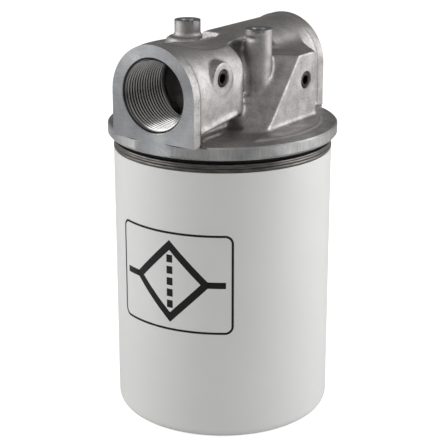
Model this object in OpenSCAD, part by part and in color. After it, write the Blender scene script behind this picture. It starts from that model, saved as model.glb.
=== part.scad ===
// Spin-on hydraulic filter: a cast aluminium head with two large threaded ports,
// and a screwed-on steel can that holds the pleated element.
// Millimetres, +Z up. The origin is the centre of the can's underside, and the ports lie along X.

/* [Can] */
// Outside diameter of the painted can
can_d = 129; // [124:0.5:134]
// Height of the painted can, from its underside to the seam
can_h = 162.5; // [150:0.5:200]
// Thickness of the drawn steel
can_wall = 1.2; // [0.8:0.1:1.6]
// Outside radius of the can's lower corner
can_corner_r = 6; // [4:0.5:9]
// How far the middle of the can's underside is pressed in
can_dish = 2.4; // [1.5:0.1:4]
// Diameter of the pressed-in panel
can_dish_d = 96; // [80:1:104]
// Height of the rolled seam above the paint
seam_h = 5; // [4:0.1:6]
// Thickness of the seaming lid
lid_wall = 1; // [0.8:0.1:1.4]

/* [Sealing face and thread] */
// Distance from the can's outside to the middle of its rubber gasket
gasket_inset = 8.5; // [8:0.1:10]
// Radial width of the gasket
gasket_w = 7; // [5:0.5:8]
// Height of the gasket
gasket_h = 5.4; // [4.5:0.1:6]
// Diameter of the spin-on thread
spud_d = 36.6; // [34:0.1:39]
// Bore of the threaded spud
spud_bore = 30; // [24:0.5:31]
// How far the spud reaches into the tapped plate
spud_grip = 9.6; // [8:0.1:10.5]
// How far the spud is screwed into the head
spud_seat = 14; // [10:0.5:18]
// Radial running clearance of the spin-on thread
thread_gap = 0.07; // [0.04:0.01:0.09]

/* [Tapped plate] */
// Thickness of the tapped plate
plate_t = 5; // [4:0.5:6]
// Outside diameter of the hub below the plate
hub_d = 47; // [45:0.5:50]
// Depth of the tapped hole, plate and hub together
hub_h = 12; // [11:0.5:14]
// Number of inlet holes in the tapped plate
plate_holes = 8; // [6:1:10]
// Diameter of an inlet hole
plate_hole_d = 13; // [9:0.5:14]
// Pitch circle of the inlet holes
plate_hole_pcd = 78; // [74:1:82]

/* [Element] */
// Gap between the element's end caps and the can
element_gap = 7.1; // [5:0.1:12]
// Gap between the pleats and the rolled edge of an end cap
pleat_gap = 0.2; // [0.1:0.1:1]
// Inside diameter of the pleats
pleat_id = 59; // [58.5:0.5:64]
// Number of pleats
pleats = 60; // [40:2:66]
// Thickness of the folded sheet
media_t = 0.6; // [0.4:0.1:0.8]
// Outside diameter of the perforated centre tube
tube_d = 57; // [56:0.5:58]
// Wall of the centre tube
tube_wall = 1; // [0.8:0.1:1.5]
// Diameter of a perforation
tube_hole_d = 7; // [5:0.5:8]
// Rows of perforations
tube_rows = 6; // [4:1:7]
// Perforations in a row
tube_row_holes = 6; // [4:1:8]
// Thickness of an end cap
cap_t = 1; // [0.8:0.1:1.5]
// Height of an end cap's rolled edge
cap_lip = 5; // [3:0.5:7]
// Height of the rubber grommet on the hub
grommet_h = 5; // [4:0.5:6]
// Radial width of the grommet
grommet_w = 3.4; // [3:0.1:4]
// Height of the space that the support spring fills
spring_h = 20; // [16:0.5:26]
// Wire of the support spring
spring_wire = 2.6; // [2:0.1:3]
// Mean diameter of the support spring
spring_d = 44; // [40:1:50]

/* [Head: flange] */
// Diameter of the round flange
flange_d = 135.6; // [130:0.2:137]
// Thickness of the flange
flange_t = 7.6; // [7:0.1:9]
// Gap between the seam and the flange's underside
flange_gap = 2.7; // [2:0.1:4]
// Diameter of the raised ring on the flange
ring_d = 117; // [114:0.5:122]
// Height of the raised ring
ring_h = 1.6; // [1:0.1:2.5]
// Depth of the ring passage in the flange's underside
annulus_h = 4; // [3:0.1:4.5]

/* [Head: body] */
// Diameter of the round chamber above the flange
drum_d = 110.4; // [108:0.2:112]
// Height of the chamber's top above the flange's underside
drum_top = 47.8; // [45:0.2:50]
// How far the milled side face stands from the middle
side_flat_y = 43; // [41:0.5:45]
// Height of the port axis above the flange's underside
port_h = 33.6; // [32:0.2:36]
// Distance between the two port faces
port_span = 133.2; // [131:0.2:134]
// Radius of the cast barrel round each port
barrel_r = 27.6; // [26:0.1:28]
// Radius of the machined end plates
plate_r = 28.4; // [28.2:0.1:30]
// Thickness of the machined end plates
end_plate_t = 6; // [4:0.5:8]
// Height of the end plates' lower edge above the flange's underside
plate_foot = 6.2; // [5.5:0.1:7]
// Height of the inlet barrel's underside above the flange's underside
block_foot = 13.6; // [12:0.2:14.5]
// Rise of the inlet block's underside towards the middle
block_rise = 4.2; // [0:0.2:6]
// Where the inlet block ends, left of the middle
block_end = 12.6; // [12:0.1:16]
// Radius of the inlet block's end corner
block_corner_r = 9; // [6:0.5:12]

/* [Head: ports and holes] */
// Inside diameter of the port thread
port_d = 38.95; // [36:0.05:40]
// Length of the port thread
port_thread = 33.8; // [28:0.2:35]
// Diameter of the port's countersink
port_mouth_d = 42.8; // [42:0.1:44]
// Width of the groove behind the port thread
port_groove_w = 2.8; // [2:0.1:4]
// Bore behind the groove
port_relief_d = 37.8; // [34:0.1:38]
// Distance between the two mounting bosses
boss_pitch = 50.8; // [49:0.1:53]
// Diameter of a mounting boss
boss_d = 15.5; // [14:0.1:17]
// Height of the bosses above the flange's underside
boss_top = 64; // [63:0.5:68]
// Tapped hole in a boss
boss_hole_d = 6.8; // [6:0.1:8.5]
// Depth of the tapped hole in a boss
boss_hole_h = 16; // [12:0.5:18]
// Thread of the gauge plugs
plug_d = 9.7; // [9:0.1:10.5]
// Length of a gauge plug
plug_l = 8; // [7:0.5:9]
// Width across the flats of a plug's hexagon socket
plug_hex = 5; // [4:0.5:6]
// Distance of the inlet plug from the middle, along X
inlet_plug_x = 38.2; // [36:0.1:40]
// Height of the inlet plug above the port axis
inlet_plug_rise = 8.2; // [7:0.1:9]
// Distance of the outlet plug from the middle, along X
outlet_plug_x = 23.6; // [21:0.1:26]
// Drop of the outlet plug below the port axis
outlet_plug_drop = 1.6; // [1:0.1:3]

/* [Bypass valve] */
// Diameter of the valve's seat opening
valve_d = 17; // [15:0.5:18]
// Outside diameter of the valve seat and cage
valve_body_d = 26; // [25:0.5:27]
// Length of the valve cage
cage_l = 18; // [17:0.5:20]
// Wire of the bypass spring
valve_wire = 1.6; // [1.2:0.1:1.6]
// Thickness of the cage's sheet
cage_wall = 1.4; // [1:0.1:2]
// Diameter of the poppet's stem
stem_d = 5; // [4:0.5:6]
// Mean diameter of the bypass spring
valve_spring_d = 14; // [13:0.5:15]

/* [Hidden] */
$fn = 96;

e = 0.01;            // small overlap that keeps cuts clean
fit = 0.1;           // clearance between pieces that sit in each other
loose = 0.3;         // clearance between pieces that only rest together

// Colours of the finishes
cast_metal = [0.70, 0.70, 0.71];
black_oxide = [0.10, 0.10, 0.11];
plated_steel = [0.66, 0.64, 0.58];
bare_steel = [0.45, 0.44, 0.43];
white_paint = [0.93, 0.93, 0.92];
rubber_black = [0.07, 0.07, 0.07];
filter_paper = [0.86, 0.80, 0.62];

// Levels, from the floor up
can_r = can_d / 2;
flange_z = can_h + seam_h + flange_gap;
port_z = flange_z + port_h;
lid_z = flange_z - gasket_h;
plate_top = lid_z - lid_wall - fit;
hub_foot = plate_top - hub_h;
gasket_ro = can_r - gasket_inset + gasket_w / 2;
gasket_ri = gasket_ro - gasket_w;
spud_foot = plate_top - spud_grip;

// Levels of the element
cap_top = hub_foot + grommet_h - 1;
pleat_top = cap_top - cap_t;
spring_foot = can_dish + can_wall;
cap_foot = spring_foot + spring_h;
pleat_foot = cap_foot + cap_t;
cap_r = can_r - can_wall - element_gap;
pleat_ro = cap_r - cap_t - pleat_gap;
grommet_ri = hub_d / 2 + fit;
grommet_ro = grommet_ri + grommet_w;

// Places in the head, measured from the flange's underside
flange_r = flange_d / 2;
face_x = port_span / 2;
drum_r = drum_d / 2;
boss_y = boss_pitch / 2;
chamber_r = 16;
core_r = 20;
wall_in = -19;
wall_out = -9;
annulus_ri = 28;
annulus_ro = 47;
valve_x = wall_out - 2.5;
valve_run = 0.07;     // running clearance of the poppet's stem
cage_end = 2;        // thickness of the cage's closed end
clip_x = wall_in + 0.5;
clip_t = 1.2;
seat_x = clip_x + clip_t + fit;

// A round bar along X, from x0 to x1, with its own radius at each end
module x_bar(x0, x1, r0, r1) {
    translate([x0, 0, 0]) rotate([0, 90, 0]) cylinder(h = x1 - x0, r1 = r0, r2 = r1);
}

// Points of an arc, for outlines
function arc(cx, cy, r, a0, a1, n) =
    [for (i = [0:n]) [cx + r * cos(a0 + (a1 - a0) * i / n), cy + r * sin(a0 + (a1 - a0) * i / n)]];

// A coil of round wire round the Z axis, from radius r0 at z0 to radius r1 at z1
module coil(r0, r1, wire, z0, z1, turns, sides, steps) {
    n = ceil(turns * steps);
    function wire_at(i, j) =
        let (t = i / n, a = 360 * turns * t, b = 360 * j / sides,
             q = r0 + (r1 - r0) * t + wire / 2 * cos(b))
        [q * cos(a), q * sin(a), z0 + (z1 - z0) * t + wire / 2 * sin(b)];
    points = [for (i = [0:n]) for (j = [0:sides - 1]) wire_at(i, j)];
    skin = [for (i = [0:n - 1]) for (j = [0:sides - 1])
        let (a = i * sides + j, b = i * sides + (j + 1) % sides)
        for (f = [[a, a + sides, b + sides], [a, b + sides, b]]) f];
    ends = [[for (j = [0:sides - 1]) j], [for (j = [sides - 1:-1:0]) n * sides + j]];
    polyhedron(points = points, faces = concat(skin, ends), convexity = 10);
}

// Round flange with its bevelled rim; the port faces cut its two ends flat
module flange() {
    intersection() {
        rotate_extrude() polygon([
            [0, 0], [flange_r - 1.4, 0], [flange_r, 1.6], [flange_r, flange_t - 0.8],
            [flange_r - 0.8, flange_t], [0, flange_t]]);
        translate([-face_x, -flange_d, -1]) cube([port_span, 2 * flange_d, flange_t + 2]);
    }
}

// Raised ring and round chamber, in one turned outline with cast radii
module drum() {
    foot = flange_t + ring_h;
    rotate_extrude() polygon(concat(
        [[0, flange_t - 2], [ring_d / 2, flange_t - 2]],
        arc(ring_d / 2 - 1.2, foot - 1.2, 1.2, 0, 90, 4),
        [[drum_r + 1.6, foot], [drum_r + 0.5, foot + 0.5], [drum_r, foot + 1.8]],
        arc(drum_r - 3, drum_top - 3, 3, 0, 90, 5),
        [[0, drum_top]]));
}

// The hollow in the chamber's front: a floor level with the flange, and a wall that slopes up from it.
// The low ridge that bounds it in front is where the raised ring ends.
module front_scoop() {
    turn = 24.6;
    foot_u = -32.8;
    slope_u = 29.8 / 40.2;
    top = drum_top + 14;
    intersection() {
        rotate([0, 0, turn]) rotate([90, 0, 0]) linear_extrude(height = 90)
            polygon([[-90, flange_t], [foot_u - 9, flange_t], [foot_u - 3, flange_t + 1.2],
                [foot_u + 3, flange_t + 5.5], [foot_u + slope_u * (top - flange_t), top], [-90, top]]);
        linear_extrude(height = 100) polygon([
            [-80, -53.7], [-16, -side_flat_y], [40, -side_flat_y], [40, 10], [-80, 10]]);
    }
}

// The clearance round the front boss: a narrow cone down into the chamber's front, and a wide spot face
// over it, closed behind by the barrels' wall
module boss_pocket() {
    wall_y = 14;
    intersection() {
        translate([0, -boss_y, 0]) {
            translate([0, 0, 28.2]) cylinder(h = drum_top - 28.2, r1 = 8.3, r2 = 10.6);
            translate([0, 0, drum_top - e]) cylinder(h = 20, r1 = 23.4, r2 = 27);
        }
        translate([-60, -100 - wall_y, 0]) cube([120, 100, 100]);
    }
}

// Outline of a port's body: a round top over straight sides, drawn with Y to the right and Z up
module port_outline(r, foot) {
    translate([0, port_h]) circle(r = r);
    translate([-r, foot]) square([2 * r, port_h - foot]);
}

// A length of port body along X
module port_body(x0, x1, r, foot) {
    translate([x0, 0, 0]) rotate([90, 0, 90]) linear_extrude(height = x1 - x0) port_outline(r, foot);
}

// Inlet side: a block that overhangs the flange on a narrower neck, with a rounded end
module inlet_block() {
    neck = barrel_r - 5.5;
    c = block_corner_r;
    x0 = -face_x + 1;
    x1 = -block_end;
    h0 = block_foot;
    h1 = block_foot + block_rise;
    intersection() {
        port_body(x0, x1, barrel_r, block_foot);
        translate([0, 50, 0]) rotate([90, 0, 0]) linear_extrude(height = 100) polygon([
            [x0, h0], [x0 + 6, h0], [x1 - 11.4, h1], [x1 - 7, h1 + 0.4], [x1 - 3.2, h1 + 2.8],
            [x1 - 1, h1 + 6.8], [x1, h1 + 11.4], [x1, port_h + 7.4], [x1 - 0.9, port_h + 13.4],
            [x1 - 2.4, port_h + 18.4], [x1 - 4.4, port_h + 24], [x1 - 7, port_h + 30], [x0, port_h + 30]]);
        linear_extrude(height = 100) polygon(concat(
            [[x0, 40], [x0, -40], [x1 - 4 * c, -barrel_r - 1], [x1 - c, -barrel_r]],
            arc(x1 - c, -barrel_r + c, c, -90, 0, 8), [[x1, 40]]));
    }
    translate([x0 + 3, -neck, flange_t - 2]) cube([face_x - 4 - block_end - 12, 2 * neck, h1 - flange_t + 3]);
}

// Both barrels, which meet over the middle
module barrels() {
    translate([0, 0, port_h]) x_bar(-face_x + 1, face_x - 1, barrel_r, barrel_r);
    port_body(30, face_x - 1, barrel_r, flange_t - 2);
}

// The machined end plates
module end_plates() {
    for (side = [0, 1]) mirror([side, 0, 0])
        port_body(face_x - end_plate_t, face_x, plate_r, plate_foot);
}

// Wall round the riser and the valve chamber
module core() {
    cylinder(h = port_h, r = core_r);
    translate([0, 0, port_h]) x_bar(wall_in, 30, core_r, core_r);
}

// Mounting bosses; the rear one has a spot-faced pad
module bosses() {
    for (side = [-1, 1]) translate([0, side * boss_y, flange_t + 12])
        cylinder(h = boss_top - flange_t - 12, d = boss_d);
    translate([0, boss_y, 40]) cylinder(h = 13, r1 = 15.5, r2 = 13.6);
    translate([0, boss_y, 53 - e]) cylinder(h = 1.4, r1 = 10.2, r2 = boss_d / 2);
}

// The round raised pad of the inlet gauge plug
module plug_pad() {
    translate([-inlet_plug_x, -18, port_h + inlet_plug_rise]) rotate([90, 0, 0])
        cylinder(h = plate_r - 18, r = 9.4);
}

// The whole casting, before it is bored
module casting() {
    flange();
    difference() {
        union() {
            difference() {
                drum();
                front_scoop();
                translate([-100, -side_flat_y - 40, flange_t + ring_h]) cube([200, 40, drum_top]);
            }
            difference() {
                barrels();
                translate([-45, -60, 0]) cube([45, 60, port_h]);
            }
        }
        boss_pocket();
        translate([0, boss_y, 53]) cylinder(h = 20, r = 13.6);
    }
    inlet_block();
    end_plates();
    core();
    bosses();
    plug_pad();
}

// A threaded port, cut in from the face at x = -face_x
module port_bore() {
    translate([0, 0, port_h]) {
        x_bar(-face_x - e, -face_x + port_thread, port_d / 2, port_d / 2);
        x_bar(-face_x - e, -face_x + (port_mouth_d - port_d) / 2, port_mouth_d / 2, port_d / 2);
        x_bar(-face_x + port_thread - e, -face_x + port_thread + port_groove_w, port_mouth_d / 2, port_mouth_d / 2);
        x_bar(-face_x + port_thread, wall_in, port_relief_d / 2, port_relief_d / 2);
    }
}

// A plug's hole with its countersink, down to the passage behind it
module plug_hole(x, y, z, deep) {
    translate([x, y, z]) rotate([-90, 0, 0]) {
        translate([0, 0, -1]) cylinder(h = plug_l + 2.5, d = plug_d + 0.1);
        translate([0, 0, -e]) cylinder(h = 0.5, r1 = plug_d / 2 + 0.55, r2 = plug_d / 2 + 0.05);
        cylinder(h = deep, d = 6);
    }
}

// All the passages of the head
module passages() {
    port_bore();
    mirror([1, 0, 0]) port_bore();
    // ring passage in the underside, and the way down to it from the inlet
    rotate_extrude() translate([annulus_ri, -1]) square([annulus_ro - annulus_ri, annulus_h + 1]);
    intersection() {
        rotate_extrude() translate([annulus_ri + 2, 1]) square([annulus_ro - annulus_ri - 2, port_h - 1]);
        translate([-36, -17, 0]) cube([26, 34, port_h]);
    }
    // riser, which keeps clear of the dividing wall, valve chamber and the hole through that wall
    riser_r = spud_bore / 2 + 0.5;
    translate([0, 0, -1]) cylinder(h = port_h - chamber_r, r = riser_r);
    intersection() {
        cylinder(h = port_h, r = riser_r);
        translate([wall_out + 2, -riser_r, 0]) cube([2 * riser_r, 2 * riser_r, port_h]);
    }
    translate([0, 0, -1]) cylinder(h = spud_seat + 1, r = spud_d / 2 + 0.05);
    translate([0, 0, port_h]) {
        x_bar(wall_out, -wall_in + 1, chamber_r, chamber_r);
        x_bar(wall_in - 2, wall_out + 1, valve_body_d / 2 + 0.05, valve_body_d / 2 + 0.05);
        x_bar(clip_x - 0.1, clip_x + clip_t + 0.1, valve_body_d / 2 + 1, valve_body_d / 2 + 1);
    }
    for (side = [-1, 1]) translate([0, side * boss_y, boss_top - boss_hole_h])
        cylinder(h = boss_hole_h + 1, d = boss_hole_d);
    plug_hole(-inlet_plug_x, -plate_r, port_h + inlet_plug_rise, plate_r - 14);
    plug_hole(outlet_plug_x, -side_flat_y, port_h - outlet_plug_drop, side_flat_y - 13);
}

module filter_head() {
    color(cast_metal) translate([0, 0, flange_z]) difference() {
        casting();
        passages();
    }
}

// A socket plug that looks along -Y
module gauge_plug(x, y, z) {
    color(black_oxide) translate([x, y + 0.4, z]) rotate([-90, 0, 0]) difference() {
        union() {
            cylinder(h = 0.5 + e, r1 = plug_d / 2 - 0.5, r2 = plug_d / 2);
            translate([0, 0, 0.5]) cylinder(h = plug_l - 0.5, d = plug_d);
        }
        translate([0, 0, -1]) cylinder(h = 6, d = plug_hex / cos(30), $fn = 6);
    }
}

module inlet_gauge_plug() {
    gauge_plug(-inlet_plug_x, -plate_r, port_z + inlet_plug_rise);
}

module outlet_gauge_plug() {
    gauge_plug(outlet_plug_x, -side_flat_y, port_z - outlet_plug_drop);
}

// The threaded spud that carries the can
module threaded_spud() {
    top = flange_z + spud_seat;
    r = spud_d / 2;
    color(plated_steel) rotate_extrude() polygon([
        [spud_bore / 2, spud_foot], [r - 1, spud_foot], [r, spud_foot + 1], [r, top - 1],
        [r - 1, top], [spud_bore / 2, top]]);
}

// Bypass valve, which opens towards the outlet; its axis lies along X
module at_valve() {
    translate([0, 0, flange_z + port_h]) rotate([0, 90, 0]) children();
}

module bypass_seat() {
    color(plated_steel) at_valve() rotate_extrude() polygon([
        [valve_d / 2, seat_x], [valve_body_d / 2, seat_x], [valve_body_d / 2, valve_x - 0.5],
        [valve_d / 2 + 1.6, valve_x - 0.5], [valve_d / 2 + 0.6, valve_x], [valve_d / 2, valve_x]]);
}

module bypass_poppet() {
    face = valve_x + 0.02;
    head_r = valve_d / 2 + 1.6;
    stem_r = stem_d / 2;
    tail = valve_x + cage_l + 4;
    color(plated_steel) at_valve() rotate_extrude() polygon([
        [0, face - 2.4], [valve_d / 2 - 3.4, face - 2.4], [valve_d / 2 - 0.5, face], [head_r, face],
        [head_r, face + 2], [stem_r + 2.9, face + 2], [stem_r + 2.1, face + 4], [stem_r, face + 5],
        [stem_r, tail], [0, tail]]);
}

module bypass_cage() {
    end = valve_x + cage_l;
    ro = valve_body_d / 2;
    ri = ro - cage_wall;
    guide_r = stem_d / 2 + valve_run;
    collar_r = guide_r + 2;
    color(plated_steel) at_valve() difference() {
        rotate_extrude() polygon([
            [ri, valve_x - 0.4], [ro, valve_x - 0.4], [ro, end - 1], [ro - 1, end],
            [collar_r, end], [collar_r, end + 2], [guide_r, end + 2], [guide_r, end - cage_end], [ri, end - cage_end]]);
        for (a = [0, 90, 180, 270]) rotate([0, 0, a + 45]) translate([0, -4.5, valve_x + 3.5])
            cube([ro + 2, 9, cage_l - 8]);
    }
}

module bypass_spring() {
    r = valve_spring_d / 2;
    x0 = valve_x + 2.02 + valve_wire / 2 + 0.15;
    x1 = valve_x + cage_l - cage_end - valve_wire / 2 - 0.15;
    color(bare_steel) at_valve() coil(r, r, valve_wire, x0, x1, 4, 8, 20);
}

module bypass_circlip() {
    color(black_oxide) at_valve() difference() {
        translate([0, 0, clip_x]) cylinder(h = clip_t, r = valve_body_d / 2 + 0.9);
        translate([0, 0, clip_x - 1]) cylinder(h = clip_t + 2, r = valve_body_d / 2 - 1.8);
        translate([-2.5, -valve_body_d, clip_x - 1]) cube([5, valve_body_d, clip_t + 2]);
    }
}

// Square-cut rubber ring between the lid and the flange
module can_gasket() {
    c = 0.5;
    color(rubber_black) rotate_extrude() polygon([
        [gasket_ri + c, lid_z], [gasket_ro - c, lid_z], [gasket_ro, lid_z + c],
        [gasket_ro, flange_z - c], [gasket_ro - c, flange_z], [gasket_ri + c, flange_z],
        [gasket_ri, flange_z - c], [gasket_ri, lid_z + c]]);
}

// Thin lid: a channel for the gasket, and the outer edge rolled over the can's rim
module seaming_lid() {
    ri = gasket_ri - 2.6;
    ci = gasket_ri - loose;
    co = gasket_ro + loose;
    top = can_h + seam_h;
    w = lid_wall;
    color(bare_steel) rotate_extrude() polygon(concat(
        [[ri, lid_z - w], [co + w, lid_z - w], [co + w, top - w - 0.8], [can_r - 2.6, top - w - 0.2],
         [can_r - can_wall - 0.6, can_h + 0.4], [can_r - can_wall, can_h + fit], [can_r - 0.2, can_h + fit]],
        arc(can_r - 0.9, can_h + 1.1 + fit, 1.2, -70, 60, 5),
        arc(can_r - 0.9, can_h + 3.5, 1.3, -45, 100, 6),
        [[can_r - 2.4, top], [co + 0.3, top - 0.6], [co, top - 1.4], [co, lid_z],
         [ci, lid_z], [ci, lid_z + 1.8], [ci - w, lid_z + 1.8], [ci - w, lid_z + 0.2], [ri, lid_z + 0.2]]));
}

// Thick plate with the spin-on thread and the ring of inlet holes
module tapped_plate() {
    bore_r = spud_d / 2 + thread_gap;
    plate_r0 = gasket_ro + loose + lid_wall - 1;
    color(bare_steel) difference() {
        union() {
            translate([0, 0, plate_top - plate_t]) cylinder(h = plate_t, r = plate_r0);
            translate([0, 0, hub_foot]) cylinder(h = hub_h, d = hub_d);
        }
        translate([0, 0, hub_foot - 1]) cylinder(h = hub_h + 2, r = bore_r);
        translate([0, 0, plate_top - 1]) cylinder(h = 1 + e, r1 = bore_r, r2 = bore_r + 1);
        for (i = [0:plate_holes - 1]) rotate([0, 0, (i + 0.5) * 360 / plate_holes])
            translate([plate_hole_pcd / 2, 0, plate_top - plate_t - 1])
                cylinder(h = plate_t + 2, d = plate_hole_d);
    }
}

// Drawn can with a round lower corner and a pressed-in panel underneath
module canister_shell() {
    w = can_wall;
    c = can_corner_r;
    dish_r = can_dish_d / 2;
    color(white_paint) rotate_extrude() polygon(concat(
        [[0, can_dish], [dish_r - 4, can_dish], [dish_r, 0]],
        arc(can_r - c, c, c, -90, 0, 8),
        [[can_r, can_h], [can_r - w, can_h]],
        arc(can_r - c, c, c - w, 0, -90, 8),
        [[dish_r + 0.6, w], [dish_r - 3.4, can_dish + w], [0, can_dish + w]]));
}

// Rubber collar that seals the element on the hub
module element_grommet() {
    lo = hub_foot - 1;
    hi = cap_top + grommet_h - 2;
    color(rubber_black) rotate_extrude() polygon([
        [grommet_ri, lo + 0.8], [grommet_ri + 0.8, lo], [grommet_ro, lo], [grommet_ro, pleat_top - 0.1],
        [grommet_ro - 1, pleat_top - 0.1], [grommet_ro - 1, cap_top + 0.1], [grommet_ro, cap_top + 0.1],
        [grommet_ro - 0.8, hi], [grommet_ri, hi]]);
}

// A pressed end cap, seen as the top one; the inner edge is a plain hole or a closed dimple
module end_cap(z, up, hole_r) {
    color(plated_steel) translate([0, 0, z]) mirror([0, 0, up ? 0 : 1]) rotate_extrude() polygon([
        [hole_r, -cap_t], [cap_r - cap_t, -cap_t], [cap_r - cap_t, -cap_lip], [cap_r, -cap_lip],
        [cap_r, -0.5], [cap_r - 0.5, 0], [hole_r, 0]]);
}

module element_top_cap() {
    end_cap(cap_top, true, grommet_ro - 0.9);
}

module element_bottom_cap() {
    end_cap(cap_foot, false, 0);
}

// One edge of the folded sheet: flat fold tips outside, narrow folds inside
function folds(r_tip, w_tip, r_root, w_root) = [for (i = [0:pleats - 1]) for (p = [
    [r_root, -w_root], [r_tip, -w_tip], [r_tip, w_tip], [r_root, w_root]])
    let (a = i * 360 / pleats) [p[0] * cos(a) - p[1] * sin(a), p[0] * sin(a) + p[1] * cos(a)]];

// Folded paper, as one closed sheet
module pleated_media() {
    ri = pleat_id / 2;
    ro = pleat_ro;
    tip = 0.7;
    root = (ri + media_t) * tan(180 / pleats) - 0.22;
    color(filter_paper) translate([0, 0, pleat_foot + fit]) linear_extrude(height = pleat_top - pleat_foot - 2 * fit)
        difference() {
            polygon(folds(ro, tip, ri + media_t, root));
            polygon(folds(ro - media_t, tip - 0.5, ri, root - 0.5));
        }
}

// Metal clip that joins the two ends of the folded paper
module media_side_seam() {
    z0 = cap_foot + cap_lip + 1;
    color(plated_steel) translate([pleat_ro + fit, -1.4, z0]) difference() {
        cube([0.8, 2.8, cap_top - cap_lip - 1 - z0]);
        translate([-0.1, 0.9, -1]) cube([0.4, 1, can_h]);
    }
}

// Perforated tube inside the pleats
module centre_tube() {
    length = pleat_top - pleat_foot - 2 * fit;
    pitch = length / tube_rows;
    color(bare_steel) translate([0, 0, pleat_foot + fit]) difference() {
        cylinder(h = length, d = tube_d);
        translate([0, 0, -1]) cylinder(h = length + 2, d = tube_d - 2 * tube_wall);
        for (row = [0:tube_rows - 1]) for (i = [0:tube_row_holes - 1])
            rotate([0, 0, (i + (row % 2) / 2) * 360 / tube_row_holes])
                translate([tube_d / 2 - 4, 0, (row + 0.5) * pitch]) rotate([0, 90, 0])
                    cylinder(h = 8, d = tube_hole_d, $fn = 24);
    }
}

// Pressed cup that keeps the spring in the middle of the bottom cap
module spring_cup() {
    r = spring_d / 2 + spring_wire / 2 + 0.4;
    z = cap_foot;
    color(plated_steel) rotate_extrude() polygon([
        [10, z - fit], [r + 1.2, z - fit], [r + 1.2, z - 5], [r + 0.2, z - 5], [r + 0.2, z - 1.2], [10, z - 1.2]]);
}

// Coil spring that holds the element up against the hub
module support_spring() {
    z0 = spring_foot + spring_wire / 2 + 0.1;
    z1 = cap_foot - 1.2 - spring_wire / 2 - 0.1;
    color(bare_steel) coil(spring_d / 2 + 4, spring_d / 2, spring_wire, z0, z1, 3.5, 8, 28);
}

filter_head();
inlet_gauge_plug();
outlet_gauge_plug();
threaded_spud();
bypass_seat();
bypass_poppet();
bypass_spring();
bypass_cage();
bypass_circlip();
can_gasket();
seaming_lid();
tapped_plate();
canister_shell();
element_grommet();
element_top_cap();
pleated_media();
media_side_seam();
centre_tube();
element_bottom_cap();
spring_cup();
support_spring();
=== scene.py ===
"""Dresses a spin-on hydraulic filter: a cast head with threaded ports over a white screwed-on can.

Sizes are in millimetres and angles in degrees, unless a docstring says otherwise.
"""

import logging
import math
from collections.abc import Iterable, Mapping
from dataclasses import dataclass
from enum import Enum

import bmesh
import bpy
from mathutils import Matrix, Vector


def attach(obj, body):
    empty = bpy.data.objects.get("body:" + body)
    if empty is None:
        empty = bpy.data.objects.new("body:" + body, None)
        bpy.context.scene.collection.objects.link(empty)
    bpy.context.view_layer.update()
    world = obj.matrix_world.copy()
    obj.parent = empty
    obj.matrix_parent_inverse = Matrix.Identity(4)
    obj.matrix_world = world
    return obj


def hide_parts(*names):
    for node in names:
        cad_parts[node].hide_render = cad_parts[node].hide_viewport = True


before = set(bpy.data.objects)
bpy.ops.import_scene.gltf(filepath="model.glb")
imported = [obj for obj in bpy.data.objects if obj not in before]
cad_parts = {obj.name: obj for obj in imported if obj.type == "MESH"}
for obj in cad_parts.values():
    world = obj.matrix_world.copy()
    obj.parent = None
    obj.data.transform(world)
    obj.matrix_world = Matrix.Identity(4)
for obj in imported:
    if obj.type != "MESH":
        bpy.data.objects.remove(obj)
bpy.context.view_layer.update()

log = logging.getLogger("hydraulic_filter")

MM = 0.001

# Levels, radii and places that the CAD model fixes
CAN_R = 64.5
PAINT_TOP = 162.5
SEAM_TOP = 167.5
LID_Z = 164.8
FLANGE_Z = 170.2
FLANGE_R = 67.8
RING_Z = 177.8
PORT_Z = 203.8
FACE_X = 66.6
BOSS_Y = 25.4
BOSS_R = 7.75
BOSS_TOP = 234.2
GASKET_R = (52.5, 59.5)
INLET_PLUG = (-38.2, -27.8, 212.0)
OUTLET_PLUG = (23.6, -43.0, 202.2)

Point = tuple[float, float]
Triple = tuple[float, float, float]
Mesh = bmesh.types.BMesh
Thing = bpy.types.Object
Material = bpy.types.Material
Socket = bpy.types.NodeSocket
Value = Socket | float | tuple[float, ...]


class Body(str, Enum):
    """The bodies that pieces ride on."""

    HEAD = "head"
    GASKET = "gasket"
    CANISTER = "canister"


class Axis(Enum):
    """The way a turned piece's own axis points once it is in place."""

    UP = (0, "Z")
    TO_PLUS_X = (90, "Y")
    TO_MINUS_X = (-90, "Y")
    TO_PLUS_Y = (-90, "X")

    def matrix(self) -> Matrix:
        """Returns the turn that takes +Z to this axis."""
        angle, about = self.value
        return Matrix.Rotation(math.radians(angle), 4, about)


# ---- mesh helpers


def place(axis: Axis = Axis.UP, x: float = 0.0, y: float = 0.0, z: float = 0.0) -> Matrix:
    """Gives the matrix that turns a piece to its axis and moves it.

    Args:
        axis: Where the piece's +Z goes.
        x: Place along X.
        y: Place along Y.
        z: Place along Z.

    Returns:
        The matrix, in metres.
    """
    return Matrix.Translation(Vector((x, y, z)) * MM) @ axis.matrix()


def arc(middle: Point, radius: float, start: float, end: float, count: int) -> list[Point]:
    """Gives evenly spaced points on an arc.

    Args:
        middle: Its centre.
        radius: Its radius.
        start: Angle of the first point.
        end: Angle of the last point.
        count: Number of steps between them.

    Returns:
        The points, one more than the steps.
    """
    turn = [math.radians(start + (end - start) * i / count) for i in range(count + 1)]
    return [(middle[0] + radius * math.cos(a), middle[1] + radius * math.sin(a)) for a in turn]


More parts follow.
